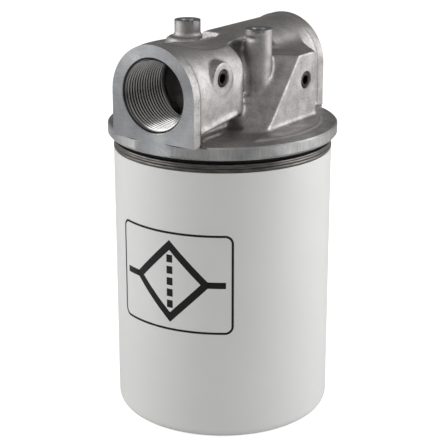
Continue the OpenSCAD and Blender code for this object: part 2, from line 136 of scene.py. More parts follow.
def lathe(
    profile: Iterable[Point], steps: int = 128, at: Matrix | None = None, closed: bool = True
) -> Mesh:
    """Turns a profile of (radius, height) points round the Z axis.

    Args:
        profile: Points in order; a closed profile joins its last point to its first.
        steps: Facets in a full turn.
        at: Where the piece goes afterwards.
        closed: Whether the profile is a loop. An open one starts and ends on the axis.

    Returns:
        A closed mesh with its faces pointing outwards.
    """
    bm = bmesh.new()
    verts = [bm.verts.new((r * MM, 0.0, z * MM)) for r, z in profile]
    pairs = list(zip(verts, verts[1:]))
    if closed:
        pairs.append((verts[-1], verts[0]))
    geom = verts + [bm.edges.new(pair) for pair in pairs]
    up = {"cent": (0, 0, 0), "axis": (0, 0, 1)}
    bmesh.ops.spin(bm, geom=geom, angle=math.tau, steps=steps, use_merge=True, **up)
    bmesh.ops.remove_doubles(bm, verts=bm.verts, dist=1e-7)
    bmesh.ops.dissolve_degenerate(bm, edges=bm.edges, dist=1e-8)
    bmesh.ops.recalc_face_normals(bm, faces=bm.faces)
    if at is not None:
        bmesh.ops.transform(bm, matrix=at, verts=bm.verts)
    return bm


def rod(
    radius: float, low: float, high: float, at: Matrix, steps: int = 96, top: float | None = None
) -> Mesh:
    """Makes a plain bar or cone along the placed axis.

    Args:
        radius: Radius at the low end.
        low: Where it starts along its axis.
        high: Where it ends.
        at: Turn and place of the axis.
        steps: Facets round it.
        top: Radius at the high end, if it differs.

    Returns:
        The closed mesh.
    """
    bm = bmesh.new()
    bmesh.ops.create_cone(
        bm,
        cap_ends=True,
        segments=steps,
        radius1=radius * MM,
        radius2=(radius if top is None else top) * MM,
        depth=(high - low) * MM,
        matrix=at @ Matrix.Translation((0, 0, (low + high) / 2 * MM)),
    )
    return bm


def block(low: Triple, high: Triple) -> Mesh:
    """Makes a box.

    Args:
        low: Its corner with the lowest X, Y and Z.
        high: The corner opposite.

    Returns:
        The closed mesh.
    """
    bm = bmesh.new()
    size = [(b - a) * MM for a, b in zip(low, high)]
    middle = Matrix.Translation([(a + b) / 2 * MM for a, b in zip(low, high)])
    bmesh.ops.create_cube(bm, size=1.0, matrix=middle @ Matrix.Diagonal((*size, 1.0)))
    return bm


def corners(made: Mapping[str, list]) -> list[bmesh.types.BMVert]:
    """Picks the corners out of what an extrusion made."""
    return [item for item in made["geom"] if isinstance(item, bmesh.types.BMVert)]


def bar(outline: Iterable[Point], low: float, high: float) -> Mesh:
    """Extrudes an outline along X.

    Args:
        outline: Its (y, z) points.
        low: Where the bar starts.
        high: Where it ends.

    Returns:
        The closed mesh.
    """
    bm = bmesh.new()
    face = bm.faces.new([bm.verts.new((low * MM, y * MM, z * MM)) for y, z in outline])
    grown = bmesh.ops.extrude_face_region(bm, geom=[face], use_keep_orig=True)
    bmesh.ops.translate(bm, vec=((high - low) * MM, 0, 0), verts=corners(grown))
    bmesh.ops.recalc_face_normals(bm, faces=bm.faces)
    return bm


def join(parts: Iterable[Mesh]) -> Mesh:
    """Puts several meshes into one, without merging their surfaces.

    Args:
        parts: The meshes; each is freed.

    Returns:
        The joined mesh.
    """
    whole = bmesh.new()
    for part in parts:
        spare = bpy.data.meshes.new("spare")
        part.to_mesh(spare)
        part.free()
        whole.from_mesh(spare)
        bpy.data.meshes.remove(spare)
    return whole


def to_object(bm: Mesh, name: str) -> Thing:
    """Makes a mesh an object in the scene.

    Args:
        bm: The mesh, which is freed.
        name: The object's name.

    Returns:
        The object.
    """
    mesh = bpy.data.meshes.new(name)
    bm.to_mesh(mesh)
    bm.free()
    made = bpy.data.objects.new(name, mesh)
    bpy.context.scene.collection.objects.link(made)
    return made


def taken(piece: Thing) -> Mesh:
    """Takes an object's mesh out of the scene.

    Args:
        piece: The object, which is deleted.

    Returns:
        Its mesh.
    """
    bm = bmesh.new()
    bm.from_mesh(piece.data)
    spare = piece.data
    bpy.data.objects.remove(piece)
    bpy.data.meshes.remove(spare)
    return bm


def cad_copy(name: str) -> Mesh:
    """Copies a CAD node's mesh and merges its corners.

    Args:
        name: The node's name.

    Returns:
        The copy.
    """
    bm = bmesh.new()
    bm.from_mesh(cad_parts[name].data)
    bmesh.ops.remove_doubles(bm, verts=bm.verts, dist=1e-7)
    return bm


def apply_modifiers(piece: Thing) -> None:
    """Bakes modifiers into a mesh.

    Args:
        piece: The object that has them.
    """
    graph = bpy.context.evaluated_depsgraph_get()
    old = piece.data
    piece.data = bpy.data.meshes.new_from_object(piece.evaluated_get(graph))
    piece.modifiers.clear()
    name = old.name
    bpy.data.meshes.remove(old)
    piece.data.name = name


def cut(piece: Thing, tools: Iterable[Mesh], operation: str = "DIFFERENCE") -> Thing:
    """Runs solid cutters through a piece, one after another.

    Args:
        piece: The object that is cut.
        tools: Closed meshes; each is freed.
        operation: DIFFERENCE or INTERSECT.

    Returns:
        The same object.
    """
    for tool in tools:
        cutter = to_object(tool, "cutter")
        step = piece.modifiers.new("cut", "BOOLEAN")
        step.operation = operation
        step.solver = "MANIFOLD"
        step.object = cutter
        apply_modifiers(piece)
        taken(cutter).free()
    return piece


def carved(base: Mesh, tool: Mesh, operation: str = "DIFFERENCE") -> Mesh:
    """Cuts one mesh with another and returns what is left; both are freed."""
    return taken(cut(to_object(base, "carved"), [tool], operation))


def shade(piece: Thing, angle: float) -> None:
    """Smooths a piece's shading, but not over sharp edges.

    Args:
        piece: The object.
        angle: Edges that bend more than this stay sharp.
    """
    bm = bmesh.new()
    bm.from_mesh(piece.data)
    limit = math.radians(angle)
    for face in bm.faces:
        face.smooth = True
    for edge in bm.edges:
        edge.smooth = len(edge.link_faces) == 2 and edge.calc_face_angle(0.0) < limit
    bm.to_mesh(piece.data)
    bm.free()


# ---- finishes


class Graph:
    """A node tree, with short calls for the nodes that this scene uses."""

    def __init__(self, tree: bpy.types.NodeTree) -> None:
        """Keeps the tree that nodes are added to."""
        self.tree = tree

    def feed(self, target: Socket, value: Value) -> None:
        """Links a node's output to an input, or sets the input to a plain value.

        Args:
            target: The input.
            value: The output or the plain value.
        """
        if isinstance(value, Socket):
            self.tree.links.new(value, target)
        else:
            target.default_value = value

    def add(
        self, kind: str, *values: Value, option: tuple[str, str] | None = None, **inputs: Value
    ) -> Mapping[str, Socket]:
        """Adds a node.

        Args:
            kind: Its type, without the ShaderNode in front.
            values: What its first inputs get, in order.
            option: One of its properties, with the value that it gets.
            inputs: What other inputs get, by name; underscores stand for spaces.

        Returns:
            Its outputs, by name.
        """
        made = self.tree.nodes.new("ShaderNode" + kind)
        if option:
            setattr(made, *option)
        for target, value in zip(made.inputs, values):
            self.feed(target, value)
        for key, value in inputs.items():
            self.feed(made.inputs[key.replace("_", " ")], value)
        return made.outputs

    def math(self, operation: str, *values: Value) -> Socket:
        """Adds a step of arithmetic on up to three values."""
        return self.add("Math", *values, option=("operation", operation))["Value"]

    def vector(self, operation: str, *values: Value) -> Mapping[str, Socket]:
        """Adds a step of vector arithmetic and returns its outputs by name."""
        return self.add("VectorMath", *values, option=("operation", operation))

    def span(
        self, value: Socket, low: float, high: float, to_low: float, to_high: float, kind: str = "LINEAR"
    ) -> Socket:
        """Maps a value from one range to another, clamped.

        Args:
            value: What is mapped.
            low: Start of its range.
            high: End of its range.
            to_low: What the start becomes.
            to_high: What the end becomes.
            kind: LINEAR, or SMOOTHSTEP for soft ends.

        Returns:
            The mapped value.
        """
        ends = {"From_Min": low, "From_Max": high, "To_Min": to_low, "To_Max": to_high}
        option = ("interpolation_type", kind)
        return self.add("MapRange", Value=value, option=option, **ends)["Result"]

    def mix(self, share: Socket, low: Value, high: Value, kind: str = "FLOAT") -> Socket:
        """Blends two values of a kind, FLOAT or RGBA, by a share from 0 to 1."""
        ends = {"A": low, "B": high, "Factor": share}
        return self.add("Mix", option=("data_type", kind), **ends)["Result"]


class Sheet(Graph):
    """A material's node tree, laid out in object space."""

    def __init__(self, name: str) -> None:
        """Starts a material with one Principled shader.

        Args:
            name: The material's name.
        """
        self.material = bpy.data.materials.new(name)
        self.material.use_nodes = True
        super().__init__(self.material.node_tree)
        self.place = self.add("TexCoord")["Object"]

    def set(self, **inputs: Value) -> Material:
        """Sets or links inputs of the shader.

        Args:
            inputs: What they get, by name; underscores stand for spaces.

        Returns:
            The material.
        """
        for key, value in inputs.items():
            self.feed(self.tree.nodes["Principled BSDF"].inputs[key.replace("_", " ")], value)
        return self.material

    def noise(
        self, scale: float, detail: float = 4.0, rough: float = 0.55, stretch: Triple = (1, 1, 1)
    ) -> Socket:
        """Adds noise in object space.

        Args:
            scale: Waves in a metre.
            detail: Octaves.
            rough: Strength of the finer octaves.
            stretch: Scale along each axis.

        Returns:
            The noise's value.
        """
        spread = self.add("Mapping", Vector=self.place, Scale=stretch)["Vector"]
        fine = {"Scale": scale, "Detail": detail, "Roughness": rough}
        return self.add("TexNoise", Vector=spread, **fine)["Fac"]

    def spots(self, scale: float, width: float) -> Socket:
        """Adds small round spots: 1 in the middle of each cell, 0 beyond the width."""
        cells = self.add("TexVoronoi", Vector=self.place, Scale=scale)
        return self.span(cells["Distance"], 0.0, width, 1.0, 0.0)

    def from_port_axis(self) -> Socket:
        """Gives the distance from the ports' common axis, in metres."""
        moved = self.vector("SUBTRACT", self.place, (0, 0, PORT_Z * MM))["Vector"]
        return self.vector("LENGTH", self.vector("MULTIPLY", moved, (0, 1, 1))["Vector"])["Value"]

    def rings(self, width: float) -> Socket:
        """Adds waves of that width round the ports' axis."""
        wave = self.math("SINE", self.math("MULTIPLY", self.from_port_axis(), math.tau / (width * MM)))
        return self.span(wave, -1.0, 1.0, 0.0, 1.0)

    def sum(self, first: Socket, second: Socket, share: float) -> Socket:
        """Adds a share of the second value to the first."""
        return self.math("MULTIPLY_ADD", second, share, first)

    def blend(self, share: Socket, low: Value, high: Value) -> Socket:
        """Blends two colours, plain or linked, by a share from 0 to 1."""
        pair = [(*colour, 1.0) if isinstance(colour, tuple) else colour for colour in (low, high)]
        return self.mix(share, *pair, "RGBA")

    def bump(
        self, height: Socket, depth: float, strength: float = 1.0, under: Socket | None = None
    ) -> Socket:
        """Adds bump.

        Args:
            height: Its height, from 0 to 1.
            depth: How deep that is.
            strength: How much of it shows.
            under: An earlier bump that it goes over, if any.

        Returns:
            The bent normal.
        """
        settings = {"Height": height, "Distance": depth * MM, "Strength": strength}
        if under is not None:
            settings["Normal"] = under
        return self.add("Bump", **settings)["Normal"]


def dimmed(colour: Triple, share: float) -> Triple:
    """Returns a darker shade of a colour."""
    return tuple(share * part for part in colour)


@dataclass(frozen=True)
class CastAluminium:
    """Sand-blasted die casting: fine grain, faint mottling and a few pits."""

    light: Triple = (0.435, 0.42, 0.411)
    dark: Triple = (0.255, 0.244, 0.239)
    grain: float = 0.055
    pits: float = 0.10

    def material(self) -> Material:
        """Builds the finish.

        Returns:
            The Blender material.
        """
        sheet = Sheet("cast_aluminium")
        mottle = sheet.noise(95, 6, 0.62)
        speck = sheet.noise(900, 3, 0.6)
        tone = sheet.span(sheet.sum(mottle, speck, 0.45), 0.52, 0.92, 0.0, 1.0)
        colour = sheet.blend(tone, self.dark, self.light)
        rough = sheet.span(sheet.sum(mottle, speck, 0.3), 0.45, 0.85, 0.56, 0.44)
        normal = sheet.bump(sheet.noise(1500, 2, 0.6), self.grain, 0.9)
        normal = sheet.bump(sheet.noise(420, 3, 0.6), self.grain * 1.2, 0.8, normal)
        patches = sheet.span(sheet.noise(60, 2), 0.52, 0.62, 0.0, 1.0)
        clear = sheet.span(sheet.math("MULTIPLY", sheet.spots(330, 0.22), patches), 0.0, 1.0, 1.0, 0.0)
        colour = sheet.blend(clear, dimmed(self.dark, 0.45), colour)
        normal = sheet.bump(clear, self.pits, 0.8, normal)
        return sheet.set(Metallic=1.0, Base_Color=colour, Roughness=rough, Normal=normal)


@dataclass(frozen=True)
class MachinedAluminium:
    """Milled or turned aluminium: fine tool marks, cutter rings, or a thread whose roots get painted
    shade and oily dirt.
    """

    name: str
    light: Triple
    dark: Triple
    marks: Triple = (1.0, 1.0, 14.0)
    depth: float = 0.012
    polish: float = 0.32
    rings: float = 0.0
    thread: Point | None = None

    def material(self) -> Material:
        """Builds the finish.

        Returns:
            The Blender material.
        """
        sheet = Sheet(self.name)
        lines = sheet.noise(170, 4, 0.6, self.marks)
        cloud = sheet.noise(60, 4, 0.6)
        tone = sheet.span(sheet.sum(cloud, lines, 0.6), 0.55, 1.0, 0.0, 1.0)
        rough = sheet.span(cloud, 0.35, 0.65, self.polish * 1.12, self.polish * 0.85)
        normal = sheet.bump(lines, self.depth, 0.8)
        if self.rings:
            normal = sheet.bump(sheet.rings(0.5), self.rings, 1.0, normal)
        colour = sheet.blend(tone, self.dark, self.light)
        # Painted shade and oily dirt: the colour darkens from a thread's crest to its root.
        if self.thread:
            crest, root = self.thread
            clear_of_root_shade = sheet.span(sheet.from_port_axis(), crest * MM, root * MM, 1.0, 0.0)
            colour = sheet.blend(clear_of_root_shade, dimmed(self.dark, 0.1), colour)
        return sheet.set(Metallic=1.0, Base_Color=colour, Roughness=rough, Normal=normal)


@dataclass(frozen=True)
class WhitePaint:
    """Semi-gloss powder coat with a faint orange peel."""

    colour: Triple = (0.80, 0.80, 0.79)

    def material(self) -> Material:
        """Builds the finish.

        Returns:
            The Blender material.
        """
        sheet = Sheet("white_paint")
        sheet.set(Coat_Weight=0.25, Coat_Roughness=0.18, IOR=1.5)
        tone = sheet.span(sheet.noise(18, 3), 0.3, 0.7, 0.0, 1.0)
        colour = sheet.blend(tone, dimmed(self.colour, 0.965), self.colour)
        rough = sheet.span(sheet.noise(260, 3), 0.3, 0.7, 0.30, 0.36)
        normal = sheet.bump(sheet.noise(330, 2, 0.5), 0.02, 0.55)
        return sheet.set(Base_Color=colour, Roughness=rough, Normal=normal)


@dataclass(frozen=True)
class Steel:
    """Rolled or drawn steel, from bright zinc to dark oiled sheet."""

    name: str
    light: Triple
    dark: Triple
    rough: float
    stretch: Triple = (1.0, 1.0, 8.0)

    def material(self) -> Material:
        """Builds the finish.

        Returns:
            The Blender material.
        """
        sheet = Sheet(self.name)
        streaks = sheet.noise(140, 5, 0.6, self.stretch)
        colour = sheet.blend(sheet.span(streaks, 0.35, 0.68, 0.0, 1.0), self.dark, self.light)
        rough = sheet.span(streaks, 0.3, 0.7, self.rough * 1.2, self.rough * 0.8)
        normal = sheet.bump(streaks, 0.01, 0.6)
        return sheet.set(Metallic=1.0, Base_Color=colour, Roughness=rough, Normal=normal)


@dataclass(frozen=True)
class Matte:
    """Rubber, paper or printing ink: a matte finish with fine grain."""

    name: str
    light: Triple
    dark: Triple
    rough: float
    scale: float = 900.0
    depth: float = 0.02
    shine: float = 0.5

    def material(self) -> Material:
        """Builds the finish.

        Returns:
            The Blender material.
        """
        sheet = Sheet(self.name)
        sheet.set(Specular_IOR_Level=self.shine)
        grain = sheet.noise(self.scale, 4, 0.6)
        colour = sheet.blend(sheet.span(grain, 0.3, 0.7, 0.0, 1.0), self.dark, self.light)
        rough = sheet.span(grain, 0.3, 0.7, self.rough * 1.08, self.rough * 0.92)
        return sheet.set(Base_Color=colour, Roughness=rough, Normal=sheet.bump(grain, self.depth, 0.7))


class Finishes:
    """Every finish on the filter, made once and shared by its pieces."""

    def __init__(self) -> None:
        """Builds the materials."""
        self.cast = CastAluminium().material()
        self.machined = MachinedAluminium(
            "machined_aluminium", (0.265, 0.268, 0.275), (0.175, 0.179, 0.188), rings=0.035
        ).material()
        self.turned = MachinedAluminium(
            "turned_aluminium", (0.50, 0.495, 0.49), (0.27, 0.27, 0.275), marks=(7.0, 7.0, 0.7)
        ).material()
        # The thread's finish darkens its roots with painted shade and oily dirt.
        self.thread = MachinedAluminium(
            "threaded_aluminium", (0.54, 0.53, 0.52), (0.36, 0.35, 0.345),
            depth=0.004, polish=0.2, thread=(19.6, 20.6),
        ).material()
        self.paint = WhitePaint().material()
        self.zinc = Steel("zinc_plate", (0.66, 0.64, 0.58), (0.50, 0.48, 0.42), 0.32).material()
        self.bare = Steel("bare_steel", (0.15, 0.14, 0.132), (0.07, 0.066, 0.063), 0.34).material()
        self.oxide = Steel(
            "black_oxide", (0.055, 0.053, 0.05), (0.02, 0.02, 0.02), 0.34, (1, 1, 1)
        ).material()
        self.rubber = Matte("black_rubber", (0.035, 0.035, 0.035), (0.02, 0.02, 0.02), 0.6).material()
        self.paper = Matte("filter_paper", (0.82, 0.74, 0.52), (0.70, 0.62, 0.42), 0.85, 1400).material()
        self.ink = Matte(
            "black_ink", (0.012, 0.012, 0.012), (0.008, 0.008, 0.008), 0.55, 600, 0.005, 0.2
        ).material()

    def dress_inner_pieces(self) -> None:
        """Gives each CAD piece that stays in the scene its finish."""
        valve = ("bypass_seat", "bypass_poppet", "bypass_cage")
        element = ("element_top_cap", "media_side_seam", "element_bottom_cap", "spring_cup")
        plan = (
            (self.zinc, valve + element),
            (self.bare, ("bypass_spring", "centre_tube", "support_spring")),
            (self.oxide, ("bypass_circlip",)),
            (self.rubber, ("element_grommet",)),
            (self.paper, ("pleated_media",)),
        )
        for material, names in plan:
            for name in names:
                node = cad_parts[name]
                node.data.materials.clear()
                node.data.materials.append(material)
                log.info("%s: finish %s", name, material.name)


# ---- studio


@dataclass
class Studio:
    """Camera, soft light, white surroundings and the pale floor."""

    azimuth: float = -54.57
    elevation: float = 18.22
    distance: float = 843.09
    aim_z: float = 113.21
    lens: float = 112.68
    shift_x: float = -0.0013
    box_distance: float = 1000.0
    box_size: Point = (950.0, 1200.0)
    floor_size: float = 7000.0
    floor_drop: float = 0.02
    floor_lift: float = 0.78
    soft_level: float = 0.33
    rear_level: float = 0.2
    front_level: float = 0.6
    side_level: float = 0.95

    def towards(self, turn: float, rise: float) -> Vector:
        """Returns the direction at an azimuth from the camera's own and an elevation."""
        a, e = math.radians(self.azimuth + turn), math.radians(rise)
        return Vector((math.sin(a) * math.cos(e), -math.cos(a) * math.cos(e), math.sin(e)))

    def hang(self, name: str, data: bpy.types.ID, way: Vector, far: float) -> Thing:
        """Hangs a camera or lamp that looks back at the filter.

        Args:
            name: Its name.
            data: The camera or lamp.
            way: Its direction from the filter.
            far: Its distance.

        Returns:
            The object.
        """
        made = bpy.data.objects.new(name, data)
        made.location = Vector((0, 0, self.aim_z * MM)) + way * far * MM
        made.rotation_euler = (-way).to_track_quat("-Z", "Y").to_euler()
        bpy.context.scene.collection.objects.link(made)
        return made

    def camera(self) -> None:
        """Sets the camera where the photograph was taken from."""
        data = bpy.data.cameras.new("camera")
        data.lens = self.lens
        data.shift_x = self.shift_x
        data.clip_start = 0.01
        made = self.hang("camera", data, self.towards(0, self.elevation), self.distance)
        bpy.context.scene.camera = made
        log.info("camera at %s mm", [round(v / MM, 1) for v in made.location])

    def softbox(self, name: str, turn: float, rise: float, power: float) -> None:
        """Hangs a softbox.

        Args:
            name: The light's name.
            turn: Its azimuth from the camera's own; positive is to the camera's right.
            rise: Its elevation.
            power: Its strength, in watts.
        """
        data = bpy.data.lights.new(name, "AREA")
        data.shape = "RECTANGLE"
        data.size, data.size_y = (side * MM for side in self.box_size)
        data.energy = power
        self.hang(name, data, self.towards(turn, rise), self.box_distance)

    def world(self) -> None:
        """Makes the surroundings white to the eye, and a soft light with bright sides to the filter."""
        made = bpy.data.worlds.new("surroundings")
        bpy.context.scene.world = made
        made.use_nodes = True
        sky = Graph(made.node_tree)
        path = sky.add("LightPath")
        way = sky.add("TexCoord")["Generated"]
        a = math.radians(self.azimuth)
        sideways = (math.cos(a), math.sin(a), 0.0)
        from_front = (0.64 * math.sin(a), -0.64 * math.cos(a), 0.77)
        side = sky.math("ABSOLUTE", sky.vector("DOT_PRODUCT", way, sideways)["Value"])
        front = sky.vector("DOT_PRODUCT", way, from_front)["Value"]
        sides = sky.span(side, 0.32, 0.95, self.rear_level, self.side_level, "SMOOTHSTEP")
        above = sky.span(front, 0.3, 0.95, 0.0, self.front_level, "SMOOTHSTEP")
        light = sky.mix(path["Is Glossy Ray"], self.soft_level, sky.math("MAXIMUM", sides, above))
        for ray in ("Is Transmission Ray", "Is Camera Ray"):
            light = sky.mix(path[ray], light, 1.0)
        shader = sky.tree.nodes["Background"]
        sky.feed(shader.inputs["Color"], (1, 1, 1, 1))
        sky.feed(shader.inputs["Strength"], light)

    def floor(self) -> None:
        """Lays the pale floor, which is white to the eye but keeps the filter's shadow."""
        bm = bmesh.new()
        bmesh.ops.create_grid(bm, x_segments=1, y_segments=1, size=self.floor_size / 2 * MM)
        bmesh.ops.translate(bm, vec=(0, 0, -self.floor_drop * MM), verts=bm.verts)
        made = to_object(bm, "floor")
        sheet = Sheet("floor_white")
        seen = sheet.add("LightPath")["Is Camera Ray"]
        glow = sheet.math("MULTIPLY", seen, self.floor_lift)
        sheet.set(Base_Color=(0.8, 0.8, 0.8, 1), Roughness=0.9, Emission_Color=(1, 1, 1, 1))
        made.data.materials.append(sheet.set(Emission_Strength=glow))

    def build(self) -> None:
        """Sets up the whole studio."""
        self.camera()
        self.world()
        self.floor()
        self.softbox("softbox_left", -88, 14, 7.8)
        self.softbox("softbox_right", 88, 16, 9.0)
        bpy.context.scene.view_settings.view_transform = "Standard"


# ---- pieces


def hand_over(
    piece: Thing, angle: float, body: Body, materials: Iterable[Material], replaced: str = ""
) -> None:
    """Gives a piece its shading, its materials and its body, and hides the CAD node that it stands for.

    Args:
        piece: The modelled object.
        angle: Edges that bend more than this stay sharp.
        body: The body that it rides on.
        materials: Its materials, in the order of its faces' indices.
        replaced: The CAD node that it replaces; empty for none.
    """
    shade(piece, angle)
    piece.data.materials.clear()
    for material in materials:
        piece.data.materials.append(material)
    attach(piece, body.value)
    if replaced:
        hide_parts(replaced)
    log.info("%s: %d faces", piece.name, len(piece.data.polygons))


@dataclass
class Tap:
    """A solid in the form of a screw thread, which cuts that thread into a bore."""

    minor_r: float
    major_r: float
    pitch: float
    turns: int
    steps: int = 96

    def solid(self, start: float, at: Matrix) -> Mesh:
        """Makes the tap.

        Args:
            start: Where the thread starts along its axis.
            at: Turn and place of the axis.

        Returns:
            The closed mesh.
        """
        low, high = self.minor_r, self.major_r
        flat = 0.06 * (high - low)
        shape = (
            (0.0, low), (0.09, low + flat), (0.40, high - flat), (0.50, high),
            (0.60, high - flat), (0.91, low + flat), (1.0, low),
        )
        bm = bmesh.new()
        verts = [bm.verts.new((r * MM, 0, (start + u * self.pitch) * MM)) for u, r in shape]
        edges = [bm.edges.new(pair) for pair in zip(verts, verts[1:])]
        rise = Vector((0, 0, self.pitch / self.steps * MM))
        bmesh.ops.spin(
            bm, geom=verts + edges, cent=(0, 0, 0), axis=(0, 0, 1), dvec=rise,
            angle=math.tau * self.turns, steps=self.steps * self.turns, use_merge=False,
        )
        bmesh.ops.remove_doubles(bm, verts=bm.verts, dist=2e-6)
        self.close(bm, start - 1.0, start + (self.turns + 2.0) * self.pitch)
        bmesh.ops.recalc_face_normals(bm, faces=bm.faces)
        bmesh.ops.transform(bm, matrix=at, verts=bm.verts)
        return bm

    def close(self, bm: Mesh, low: float, high: float) -> None:
        """Closes both open ends with flat discs.

        Args:
            bm: The open thread.
            low: Where the lower disc goes.
            high: Where the upper disc goes.
        """
        core = (self.minor_r - 0.3) * MM
        middle = (low + high) / 2 * MM
        rims = [edge for edge in bm.edges if edge.is_boundary]
        moved = corners(bmesh.ops.extrude_edge_only(bm, edges=rims))
        for vert in moved:
            flat = Vector((vert.co.x, vert.co.y, 0.0)).normalized() * core
            vert.co = (flat.x, flat.y, (low if vert.co.z < middle else high) * MM)
        bmesh.ops.remove_doubles(bm, verts=moved, dist=2e-6)
        bmesh.ops.holes_fill(bm, edges=[edge for edge in bm.edges if edge.is_boundary])


@dataclass
class PortThread:
    """The threaded lining of one port, with its countersunk mouth."""

    finishes: Finishes
    name: str
    axis: Axis
    outer_r: float = 21.25
    mouth_r: float = 22.05
    minor_r: float = 19.475
    major_r: float = 20.955
    pitch: float = 2.309
    length: float = 33.6
    recess: float = 0.35

    def build(self) -> None:
        """Models the lining; its axis points out of the port's mouth."""
        at = place(self.axis, z=PORT_Z)
        inner, outer = self.minor_r, self.outer_r
        start, end = FACE_X - self.length, FACE_X - self.recess
        tube = lathe([(inner, start), (outer, start), (outer, end), (inner, end)], 96, at)
        tap = Tap(inner, self.major_r, self.pitch, int(self.length / self.pitch) + 2)
        mouth = rod(inner - 0.1, FACE_X - 2.6, FACE_X + 0.4, at, top=self.mouth_r)
        piece = cut(to_object(tube, self.name), [tap.solid(start - self.pitch * 1.4, at), mouth])
        hand_over(piece, 32, Body.HEAD, [self.finishes.thread])


@dataclass
class HeadCasting:
    """The filter head: a casting with soft inner corners, machined where it seals or is bored."""

    finishes: Finishes
    voxel: float = 0.6
    fillet: float = 1.3
    most_faces: int = 170000
    stock: float = 2.5
    plate_x: float = 60.8
    plate_r: float = 28.4
    top_z: float = 218.0
    barrel_r: float = 27.6
    saddle_r: float = 72.0
    riser_r: float = 15.5
    spud_r: float = 18.35
    drill_r: float = 3.4

    def stock_metal(self) -> list[Mesh]:
        """Models the metal that machining takes away, and the feet, pads and fillets of the casting.

        Returns:
            Closed meshes that overlap the CAD head.
        """
        along = place(Axis.TO_PLUS_X, z=PORT_Z)
        up = place()
        over = FACE_X + self.stock
        low, high = FLANGE_Z - 2, FLANGE_Z + 4.4
        metal = [
            # bores, rim, riser, ring passage and down passage
            rod(22.6, -over, over, along),
            rod(CAN_R + 5.5, low, RING_Z, up, 256),
            rod(19.5, low, PORT_Z, up),
            lathe([(20, low), (52, low), (52, high), (20, high)], 96),
            block((-48, -18, FLANGE_Z), (-18, 18, PORT_Z)),
        ]
        for side in (-1, 1):
            at = place(y=side * BOSS_Y)
            metal.append(rod(5.2, BOSS_TOP - 18, BOSS_TOP - 1, at))
            metal.append(rod(BOSS_R, 215 if side > 0 else BOSS_TOP - 4, BOSS_TOP + self.stock, at))
        pad = [
            (0, 215), (11.9, 215), (12.2, 221.6), (12.0, 223.2), (11.4, 224.3), (10.4, 224.7), (0, 224.7)
        ]
        metal += [
            lathe(pad, 64, place(y=BOSS_Y), closed=False),
            rod(6.4, -43.0, -18, place(Axis.TO_PLUS_Y, x=OUTLET_PLUG[0], z=OUTLET_PLUG[2])),
            rod(9.4, -27.8, -14, place(Axis.TO_PLUS_Y, x=INLET_PLUG[0], z=INLET_PLUG[2])),
            self.lip(),
            self.top_fillet(),
        ]
        for start in (-over, self.plate_x):
            outline = self.plate_outline(self.plate_r + 0.5, FLANGE_Z + 6)
            metal.append(bar(outline, start, start + over - self.plate_x))
        return metal

    def hollows(self) -> list[Mesh]:
        """Models the cast hollows that the CAD head lacks.

        Returns:
            Closed meshes to cut away.
        """
        front_boss = rod(7.8, 180, 222, place(y=-BOSS_Y), 64)
        rounding = rod(9.0, 190, 225, place(x=-21.6, y=-18.6), 64)
        slope = [(0, 221), (12.6, 221), (27, 225.8), (27, 245), (0, 245)]
        cone = lathe(slope, 96, place(y=BOSS_Y), closed=False)
        return [
            # groove beside the front boss, then the inlet block's end and corner
            carved(block((-12.5, -40, 196.5), (-7.3, -14.2, 219)), front_boss),
            block((-14.3, -40, 192.4), (-11.4, -14.2, 219)),
            carved(block((-21.6, -40, 203), (-11.4, -18.6, 219)), rounding),
            # saddle, facing round the rear boss, undercuts and the inlet plug's pad
            rod(self.saddle_r, -30, 30, place(Axis.TO_PLUS_Y, x=-25.5, z=226 + self.saddle_r), 256),
            carved(cone, block((-30, -4, 215), (-4, 60, 250)), "INTERSECT"),
            self.undercut(-30, -18.6),
            self.undercut(18.6, 30),
            block((-50, -30, 201), (-26, -27.8, 223)),
        ]

    def undercut(self, low: float, high: float) -> Mesh:
        """Models the space under the inlet block's foot.

        Args:
            low: Where it starts along Y.
            high: Where it ends.

        Returns:
            The closed mesh.
        """
        bm = block((-60.4, low, 179.6), (-22, high, 183.6))
        for vert in bm.verts:
            if vert.co.z > 182 * MM and vert.co.x > -30 * MM:
                vert.co.z += 4.3 * MM
        return bm

    def plate_outline(self, radius: float, foot: float) -> list[Point]:
        """Returns an end plate's outline: a round top over straight sides."""
        return arc((0, PORT_Z), radius, 0, 180, 48) + [(-radius, foot), (radius, foot)]

    def top_fillet(self) -> Mesh:
        """Fills the corner between the outlet barrel and the drum's flat top.

        Returns:
            The closed mesh.
        """
        radius = 14.0
        rise = self.top_z + radius
        across = -math.sqrt((self.barrel_r + radius) ** 2 - (rise - PORT_Z) ** 2)
        end = math.degrees(math.atan2(PORT_Z - rise, -across))
        curve = arc((across, rise), radius, -90, end, 12)
        corner = bar([(-16, 213), (across, 213), *curve, (-16, 219)], 23.5, 61)
        return carved(corner, rod(54.5, 200, 240, place(), 128), "INTERSECT")

    def lip(self) -> Mesh:
        """Models the rounded lip along the inlet block's foot.

        Returns:
            The closed mesh.
        """
        start, end = Vector((-60.5, -26.9, 185.2)) * MM, Vector((-24.5, -26.9, 189.5)) * MM
        way = end - start
        at = Matrix.Translation(start) @ way.to_track_quat("Z", "Y").to_matrix().to_4x4()
        return rod(1.7, 0, way.length / MM, at, 24)

    def soften(self, piece: Thing) -> None:
        """Rounds inner corners by growing and shrinking the surface, then lightens the mesh.

        Args:
            piece: The casting.
        """
        steps = (
            ("REMESH", 0), ("DISPLACE", 1), ("REMESH", 0), ("SMOOTH", 1),
            ("DISPLACE", -1), ("REMESH", 0), ("SMOOTH", 3),
        )
        for kind, amount in steps:
            step = piece.modifiers.new("soften", kind)
            if kind == "REMESH":
                step.mode = "VOXEL"
                step.voxel_size = self.voxel * MM
            elif kind == "SMOOTH":
                step.factor = 0.5
                step.iterations = amount
            else:
                step.strength = amount * self.fillet * MM
                step.mid_level = 0.0
        apply_modifiers(piece)
        step = piece.modifiers.new("lighten", "DECIMATE")
        step.ratio = min(1.0, self.most_faces / (2 * len(piece.data.polygons)))
        apply_modifiers(piece)
        log.info("softened: %d faces", len(piece.data.polygons))

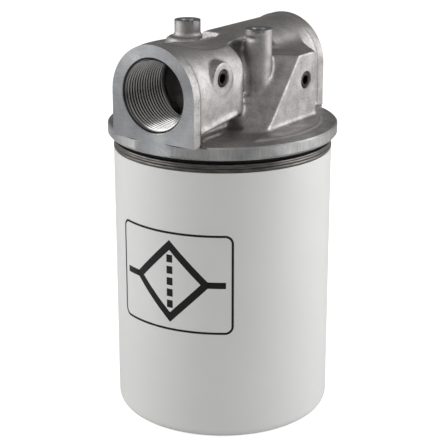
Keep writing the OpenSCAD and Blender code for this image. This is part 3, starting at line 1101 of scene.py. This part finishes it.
    def port_tools(self, axis: Axis, side: int) -> list[Mesh]:
        """Models one port's face and bores, and all that lies outside its end plate.

        Args:
            axis: The way the port looks.
            side: -1 or 1, the same way along X.

        Returns:
            Closed meshes to cut away.
        """
        far = FACE_X + 12
        outline = [
            (0, far), (60, far), (60, FACE_X), (21.6, FACE_X), (21.2, FACE_X - 0.4), (21.2, 32.9),
            (21.3, 32.9), (21.3, 30.0), (18.9, 30.0), (18.9, 19.0), (0, 19.0),
        ]
        low, high = sorted((side * (self.plate_x - 0.1), side * far))
        around = block((low, -44, RING_Z + 0.1), (high, 44, 250))
        plate = bar(self.plate_outline(self.plate_r, FLANGE_Z), low - 2, high + 2)
        return [lathe(outline, 128, place(axis, z=PORT_Z), closed=False), carved(around, plate)]

    def underside_tools(self) -> list[Mesh]:
        """Models the flange's underside and rim, the valve's chamber and the oil passages.

        Returns:
            Closed meshes to cut away.
        """
        up, along = place(), place(Axis.TO_PLUS_X, z=PORT_Z)
        riser, spud, roof = self.riser_r, self.spud_r, PORT_Z - 17
        under = [
            (0, 150), (90, 150), (90, RING_Z), (FLANGE_R - 0.8, RING_Z), (FLANGE_R, RING_Z - 0.8),
            (FLANGE_R, FLANGE_Z + 1.6), (66.4, FLANGE_Z), (47, FLANGE_Z), (47, FLANGE_Z + 4),
            (28, FLANGE_Z + 4), (28, FLANGE_Z), (spud, FLANGE_Z), (spud, FLANGE_Z + 14),
            (riser, FLANGE_Z + 14), (riser, roof), (0, roof),
        ]
        passage = carved(block((-36, -14.5, 171.2), (-10, 14.5, PORT_Z)), rod(30, 165, 210, up, 128))
        beyond_wall = block((-7, -20, 170), (20, 20, 220))
        return [
            lathe(under, 192, closed=False),
            rod(16, -9, 20, along),
            rod(13.05, -21, -8, along),
            rod(14, -18.6, -17.2, along),
            carved(passage, rod(47, 165, 210, up, 128), "INTERSECT"),
            carved(rod(riser, FLANGE_Z + 10, PORT_Z, up), beyond_wall, "INTERSECT"),
        ]

    def boss_tools(self, at: Matrix) -> list[Mesh]:
        """Models one boss's face, drilled hole and thread.

        Args:
            at: The boss's axis.

        Returns:
            Closed meshes to cut away.
        """
        r, top, over = self.drill_r, BOSS_TOP, BOSS_TOP + 6
        drill = [
            (0, top - 18), (r, top - 16), (r, top - 0.9), (4.3, top), (12, top), (12, over), (0, over)
        ]
        return [lathe(drill, 64, at, closed=False), Tap(r, 4.0, 1.25, 12, 32).solid(top - 15, at)]

    def plug_tool(self, spot: Triple) -> Mesh:
        """Models a gauge plug's hole at the middle of its mouth."""
        hole = [(0, -4), (5.5, -4), (5.5, 0), (4.9, 0.6), (4.9, 9.5), (3, 9.5), (3, 15), (0, 15)]
        return lathe(hole, 64, place(Axis.TO_PLUS_Y, *spot), closed=False)

    def machine(self, piece: Thing) -> None:
        """Cuts the faces, bores and passages.

        Args:
            piece: The casting.
        """
        cut(piece, self.port_tools(Axis.TO_MINUS_X, -1))
        cut(piece, self.port_tools(Axis.TO_PLUS_X, 1))
        cut(piece, self.underside_tools())
        for side in (-1, 1):
            cut(piece, self.boss_tools(place(y=side * BOSS_Y)))
        cut(piece, [self.plug_tool(INLET_PLUG), self.plug_tool(OUTLET_PLUG)])

    def mark_machined(self, piece: Thing) -> None:
        """Gives the milled and the turned finish to the faces that a tool left.

        Args:
            piece: The casting, with its three materials.
        """
        for face in piece.data.polygons:
            c = face.center / MM
            milled = abs(c.x) > FACE_X - 0.05 or c.z < FLANGE_Z + 0.05 or c.z > BOSS_TOP - 0.9
            bored = math.hypot(c.y, c.z - PORT_Z) < 21.7 and abs(c.x) > 19
            rim = math.hypot(c.x, c.y) > 66.3 and abs(face.normal.z) < 0.9 and c.z < RING_Z + 0.1
            face.material_index = 1 if milled else 2 if bored or rim else 0

    def build(self) -> None:
        """Models and dresses the head."""
        blank = cut(to_object(cad_copy("filter_head"), "blank"), self.hollows())
        piece = to_object(join([taken(blank), *self.stock_metal()]), "head_casting")
        self.soften(piece)
        self.machine(piece)
        metals = (self.finishes.cast, self.finishes.machined, self.finishes.turned)
        hand_over(piece, 38, Body.HEAD, metals, "filter_head")
        self.mark_machined(piece)


@dataclass
class FilterHead:
    """The head with its port threads and gauge plugs."""

    finishes: Finishes
    plug_r: float = 4.85
    plug_l: float = 8.0
    hex_r: float = 2.89

    def plug(self, name: str, spot: Triple) -> None:
        """Models a socket plug that looks along -Y.

        Args:
            name: The CAD node that it replaces.
            spot: The middle of its hole's mouth.
        """
        at = place(Axis.TO_PLUS_Y, spot[0], spot[1] + 0.4, spot[2])
        r, length = self.plug_r, self.plug_l
        outline = [(0, 0.15), (r - 1.1, 0.0), (r - 0.6, 0.12), (r, 0.6), (r, length), (0, length)]
        body = to_object(lathe(outline, 64, at, closed=False), name + "_piece")
        bevel = rod(self.hex_r + 0.5, -0.6, 0.5, at, 48, top=self.hex_r - 0.15)
        piece = cut(body, [rod(self.hex_r, -1, 5, at, 6), bevel])
        hand_over(piece, 30, Body.HEAD, [self.finishes.oxide], name)

    def build(self) -> None:
        """Builds every piece of the head's outside."""
        HeadCasting(self.finishes).build()
        PortThread(self.finishes, "inlet_thread", Axis.TO_MINUS_X).build()
        PortThread(self.finishes, "outlet_thread", Axis.TO_PLUS_X).build()
        self.plug("inlet_gauge_plug", INLET_PLUG)
        self.plug("outlet_gauge_plug", OUTLET_PLUG)


@dataclass
class Canister:
    """The painted can, its rolled seam, gasket and printed mark."""

    finishes: Finishes
    wall: float = 1.2
    corner: float = 6.0
    dish_r: float = 48.0
    dish: float = 2.4
    gasket_bend: float = 1.1
    steps: int = 256

    def shell(self) -> None:
        """Models the drawn can with its pressed-in underside."""
        r, c, w = CAN_R, self.corner, self.wall
        foot, dish = self.dish_r, self.dish
        outline = [
            (0, dish), (foot - 6, dish), (foot - 4.2, dish - 0.25), (foot - 1.6, 0.55),
            (foot - 0.4, 0.12), (foot + 0.8, 0.0), *arc((r - c, c), c, -90, 0, 14),
            (r, PAINT_TOP - 0.25), (r - 0.25, PAINT_TOP), (r - w, PAINT_TOP),
            *arc((r - c, c), c - w, 0, -90, 10), (foot, w), (foot - 3.4, dish + w), (0, dish + w),
        ]
        piece = to_object(lathe(outline, self.steps, closed=False), "canister_shell_piece")
        hand_over(piece, 35, Body.CANISTER, [self.finishes.paint], "canister_shell")

    def seam(self) -> None:
        """Models the lid with its gasket channel and the rolled seam of two beads."""
        r, base, lid, top = CAN_R, PAINT_TOP, LID_Z, SEAM_TOP
        hole_r = GASKET_R[0] - 2.6
        inside, outside = GASKET_R[0] - 0.3, GASKET_R[1] + 0.3
        outline = [
            (hole_r, lid - 1), (outside + 1, lid - 1), (outside + 1, top - 1.8), (r - 2.6, top - 1.2),
            (r - 1.8, base + 0.4), (r - 1.2, base + 0.1), (r - 0.3, base + 0.1),
            *arc((r - 0.95, base + 1.15), 1.05, -60, 62, 8),
            *arc((r - 1.15, base + 2.75), 0.95, -50, 50, 6),
            *arc((r - 1.1, base + 4.1), 0.95, -55, 95, 9),
            (r - 2.4, top), (outside + 0.3, top - 0.6), (outside, top - 1.4), (outside, lid),
            (inside, lid), (inside, lid + 1.8), (inside - 1, lid + 1.8), (inside - 1, lid + 0.2),
            (hole_r, lid + 0.2),
        ]
        piece = to_object(lathe(outline, self.steps), "seaming_lid_piece")
        hand_over(piece, 40, Body.CANISTER, [self.finishes.bare], "seaming_lid")

    def gasket(self) -> None:
        """Models the rubber ring between the can and the head, with its rounded edges."""
        b = self.gasket_bend
        inside, outside, low, high = GASKET_R[0] + b, GASKET_R[1] - b, LID_Z + b, FLANGE_Z - b
        bends = ((outside, low, -90), (outside, high, 0), (inside, high, 90), (inside, low, 180))
        outline = [point for r, z, start in bends for point in arc((r, z), b, start, start + 90, 6)]
        piece = to_object(lathe(outline, self.steps), "can_gasket_piece")
        hand_over(piece, 50, Body.GASKET, [self.finishes.rubber], "can_gasket")

    def build(self) -> None:
        """Builds the can's outside."""
        self.shell()
        self.seam()
        self.gasket()
        PrintedMark(self.finishes).build()


@dataclass
class PrintedMark:
    """A plain printed mark: a rounded frame round the usual symbol for a hydraulic filter."""

    finishes: Finishes
    turn: float = 187.4
    middle_z: float = 96.3
    width: float = 76.0
    height: float = 60.0
    corner: float = 5.0
    line: float = 1.35
    bar: float = 1.9
    lift: float = 0.05
    sink: float = 0.25
    strip: float = 1.5

    def box(self, low: Point, high: Point) -> list[Point]:
        """Returns the four corners of an upright rectangle."""
        return [low, (high[0], low[1]), high, (low[0], high[1])]

    def rounded(self, inset: float) -> list[Point]:
        """Gives the frame's outline, or one inside it.

        Args:
            inset: How far inside.

        Returns:
            Its points.
        """
        w, h, radius = self.width / 2 - inset, self.height / 2 - inset, self.corner - inset
        points: list[Point] = []
        for sx, sy, start in ((1, -1, -90), (1, 1, 0), (-1, 1, 90), (-1, -1, 180)):
            points += arc((sx * (w - radius), sy * (h - radius)), radius, start, start + 90, 8)
        return points

    def shapes(self) -> list[tuple[list[Point], list[Point]]]:
        """Draws the frame, the diamond, its two lines and its dashes.

        Returns:
            The outline and the hole of each.
        """
        side, half = self.height / 2 - 5.0, self.bar
        diamond = [(side, 0), (0, side), (-side, 0), (0, -side)]
        made = [
            (self.rounded(0), self.rounded(self.line)),
            (diamond, [(0.76 * x, 0.76 * y) for x, y in diamond]),
        ]
        for s in (-1, 1):
            made.append((self.box((s * (side - 2.5), -half), (s * (self.width / 2 - 4.5), half)), []))
        for z in (-13.8, -6.9, 0.0, 6.9, 13.8):
            made.append((self.box((-half, z - 2.3), (half, z + 2.3)), []))
        return made

    def sheet(self, outline: list[Point], hole: list[Point]) -> Mesh:
        """Makes a flat shape in strips that can follow the can.

        Args:
            outline: Its outline.
            hole: The outline of its hole; empty for none.

        Returns:
            The flat mesh.
        """
        bm = bmesh.new()
        rings = []
        for loop in (outline, hole):
            verts = [bm.verts.new((x * MM, y * MM, 0)) for x, y in loop]
            rings += [bm.edges.new(pair) for pair in zip(verts, verts[1:] + verts[:1])]
        bmesh.ops.triangle_fill(bm, use_beauty=True, use_dissolve=False, edges=rings, normal=(0, 0, 1))
        steps = int(self.width / self.strip)
        for i in range(1, steps):
            x = (i / steps - 0.5) * self.width * MM
            whole = bm.verts[:] + bm.edges[:] + bm.faces[:]
            bmesh.ops.bisect_plane(bm, geom=whole, plane_co=(x, 0, 0), plane_no=(1, 0, 0))
        return bm

    def build(self) -> None:
        """Prints the mark on the can as a thin raised layer."""
        flat = join([self.sheet(*shape) for shape in self.shapes()])
        grown = bmesh.ops.extrude_face_region(flat, geom=flat.faces[:], use_keep_orig=True)
        raised = set(corners(grown))
        for vert in flat.verts:
            a = math.radians(self.turn) + vert.co.x / (CAN_R * MM)
            r = (CAN_R + (self.lift if vert in raised else -self.sink)) * MM
            vert.co = (r * math.cos(a), r * math.sin(a), vert.co.y + self.middle_z * MM)
        bmesh.ops.recalc_face_normals(flat, faces=flat.faces)
        piece = to_object(flat, "printed_mark")
        hand_over(piece, 40, Body.CANISTER, [self.finishes.ink])


@dataclass
class SpinOnThread:
    """The threaded spud and the plate that screws onto it."""

    finishes: Finishes
    pitch: float = 1.5875
    spud_r: float = 18.3
    plate_r: float = 18.37
    bore_r: float = 15.0
    deep: float = 0.85

    def spud(self) -> None:
        """Models the spud with its outer thread."""
        r, over, bore = self.spud_r, self.spud_r + 0.05, self.bore_r
        tube = [
            (bore, 154.8), (bore + 0.7, 154.1), (r - 1.1, 154.1),
            (over, 155.3), (over, 184.2), (bore, 184.2),
        ]
        thread = Tap(r - self.deep, r, self.pitch, 22).solid(151.5, place())
        piece = cut(to_object(lathe(tube, 96), "threaded_spud_piece"), [thread], "INTERSECT")
        hand_over(piece, 30, Body.HEAD, [self.finishes.zinc], "threaded_spud")

    def plate(self) -> None:
        """Cuts the plate's thread into a copy of the CAD plate."""
        tap = Tap(self.plate_r, self.plate_r + self.deep, self.pitch, 11).solid(149.5, place())
        piece = cut(to_object(cad_copy("tapped_plate"), "tapped_plate_piece"), [tap])
        hand_over(piece, 30, Body.CANISTER, [self.finishes.bare], "tapped_plate")

    def build(self) -> None:
        """Builds both threaded pieces."""
        self.spud()
        self.plate()


def main() -> None:
    """Builds the studio and every piece, in order."""
    logging.basicConfig(level=logging.INFO, format="%(message)s")
    Studio().build()
    finishes = Finishes()
    FilterHead(finishes).build()
    Canister(finishes).build()
    SpinOnThread(finishes).build()
    finishes.dress_inner_pieces()


if __name__ == "__main__":
    main()
